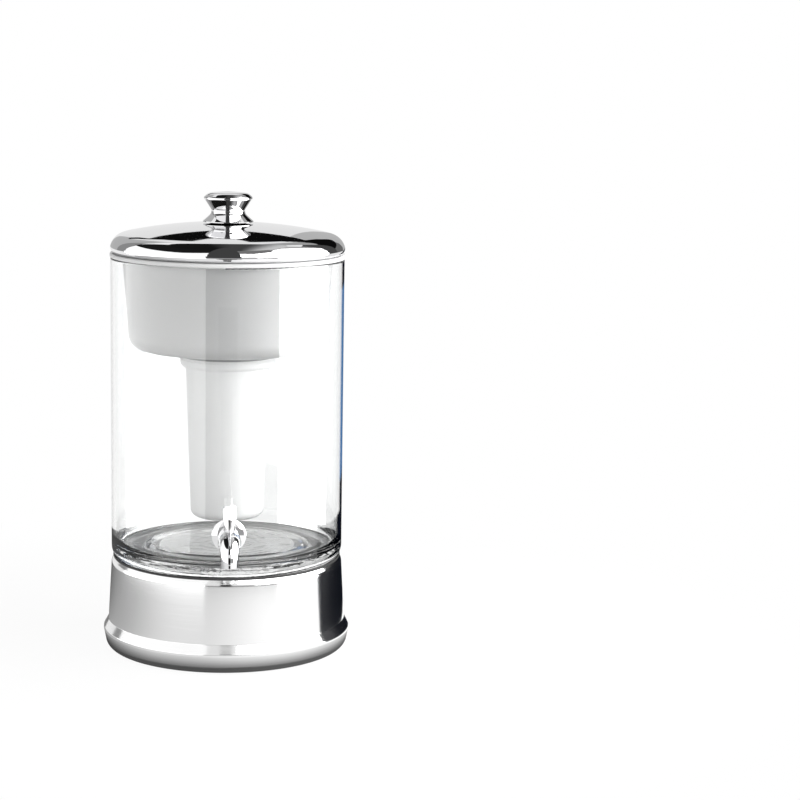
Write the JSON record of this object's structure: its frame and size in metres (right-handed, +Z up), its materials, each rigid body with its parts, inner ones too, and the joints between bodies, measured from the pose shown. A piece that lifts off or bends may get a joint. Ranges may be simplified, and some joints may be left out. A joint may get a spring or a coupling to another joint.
{
  "type": "gravity water filter with tap",
  "caption": "Countertop gravity water filter: glass jar on a steel stand, lift-off domed lid, hanging reservoir with screw-in cartridge and a quarter-turn tap.",
  "frame": {"origin": "on the table under the middle of the stand, at the rubber foot's underside", "axes": "+Z up along the jar's axis, -Y towards the tap, +X to the right of someone who faces the tap"},
  "size_m": [0.241, 0.3065, 0.446],
  "materials": {
    "stand_steel": "fine brushed, satin",
    "frame_plastic": "moulded, fine grain",
    "seat_silicone": "soft matte silicone",
    "plate_plastic": "moulded, fine grain",
    "screw_steel": "plain stainless",
    "foot_rubber": "soft matte",
    "jar_glass": "clear, polished",
    "tap_chrome": "polished plating",
    "seal_rubber": "soft matte",
    "washer_plastic": "moulded",
    "nut_steel": "plain stainless",
    "plug_brass": "machined",
    "tub_plastic": "frosted, translucent",
    "seal_silicone": "soft silicone",
    "cartridge_plastic": "smooth moulded",
    "screen_fabric": "fine woven mesh",
    "foam_white": "open foam",
    "carbon_grain": "granular",
    "resin_bead": "fine beads",
    "lid_chrome": "mirror polished",
    "pan_steel": "satin"
  },
  "bodies": {
    "stand": {"stand_shell": "stand_steel", "stand_frame": "frame_plastic", "frame_ribs": "frame_plastic", "seat_gasket": "seat_silicone", "bottom_plate": "plate_plastic", "plate_screws": "screw_steel", "foot_ring": "foot_rubber"},
    "jar": {"glass_jar": "jar_glass", "tap_body": "tap_chrome", "tap_escutcheon": "tap_chrome", "outer_seal": "seal_rubber", "inner_seal": "seal_rubber", "inner_washer": "washer_plastic", "lock_nut": "nut_steel"},
    "tap_lever": {"valve_plug": "plug_brass", "plug_orings": "seal_rubber", "plug_washer": "nut_steel", "plug_nut": "tap_chrome", "lever_handle": "tap_chrome", "lever_screw": "screw_steel"},
    "reservoir": {"reservoir_tub": "tub_plastic"},
    "cartridge_seal": {"cartridge_gasket": "seal_silicone"},
    "cartridge": {"cartridge_shell": "cartridge_plastic", "cartridge_cap": "cartridge_plastic", "inlet_screen": "screen_fabric", "foam_distributor": "foam_white", "carbon_bed": "carbon_grain", "stage_separator": "screen_fabric", "resin_bed": "resin_bead", "outlet_pad": "foam_white"},
    "lid": {"lid_shell": "lid_chrome", "lid_skirt": "pan_steel", "lid_gasket": "seat_silicone", "lid_knob": "lid_chrome", "knob_washer": "seal_rubber", "knob_screw": "screw_steel"}
  },
  "joints": [
    {"name": "jar_lift", "type": "slide", "parent": "stand", "child": "jar", "axis": [0, 0, 1], "range_m": [0, 0.05]},
    {"name": "tap_turn", "type": "hinge", "parent": "jar", "child": "tap_lever", "pos_m": [0, -0.1345, 0.134], "axis": [0, 0, 1], "range_deg": [0, 90]},
    {"name": "reservoir_lift", "type": "slide", "parent": "jar", "child": "reservoir", "axis": [0, 0, 1], "range_m": [0, 0.27]},
    {"name": "cartridge_drop", "type": "slide", "parent": "reservoir", "child": "cartridge_seal", "axis": [0, 0, -1], "range_m": [0, 0.012]},
    {"name": "cartridge_turn", "type": "hinge", "parent": "cartridge_seal", "child": "cartridge", "pos_m": [0, 0, 0.29], "axis": [0, 0, -1], "range_deg": [0, 720]},
    {"name": "lid_lift", "type": "slide", "parent": "reservoir", "child": "lid", "axis": [0, 0, 1], "range_m": [0, 0.12]}
  ],
  "couplings": [
    {"joint": "cartridge_drop", "follows": "cartridge_turn", "m_per_rad": 0.00095493}
  ]
}
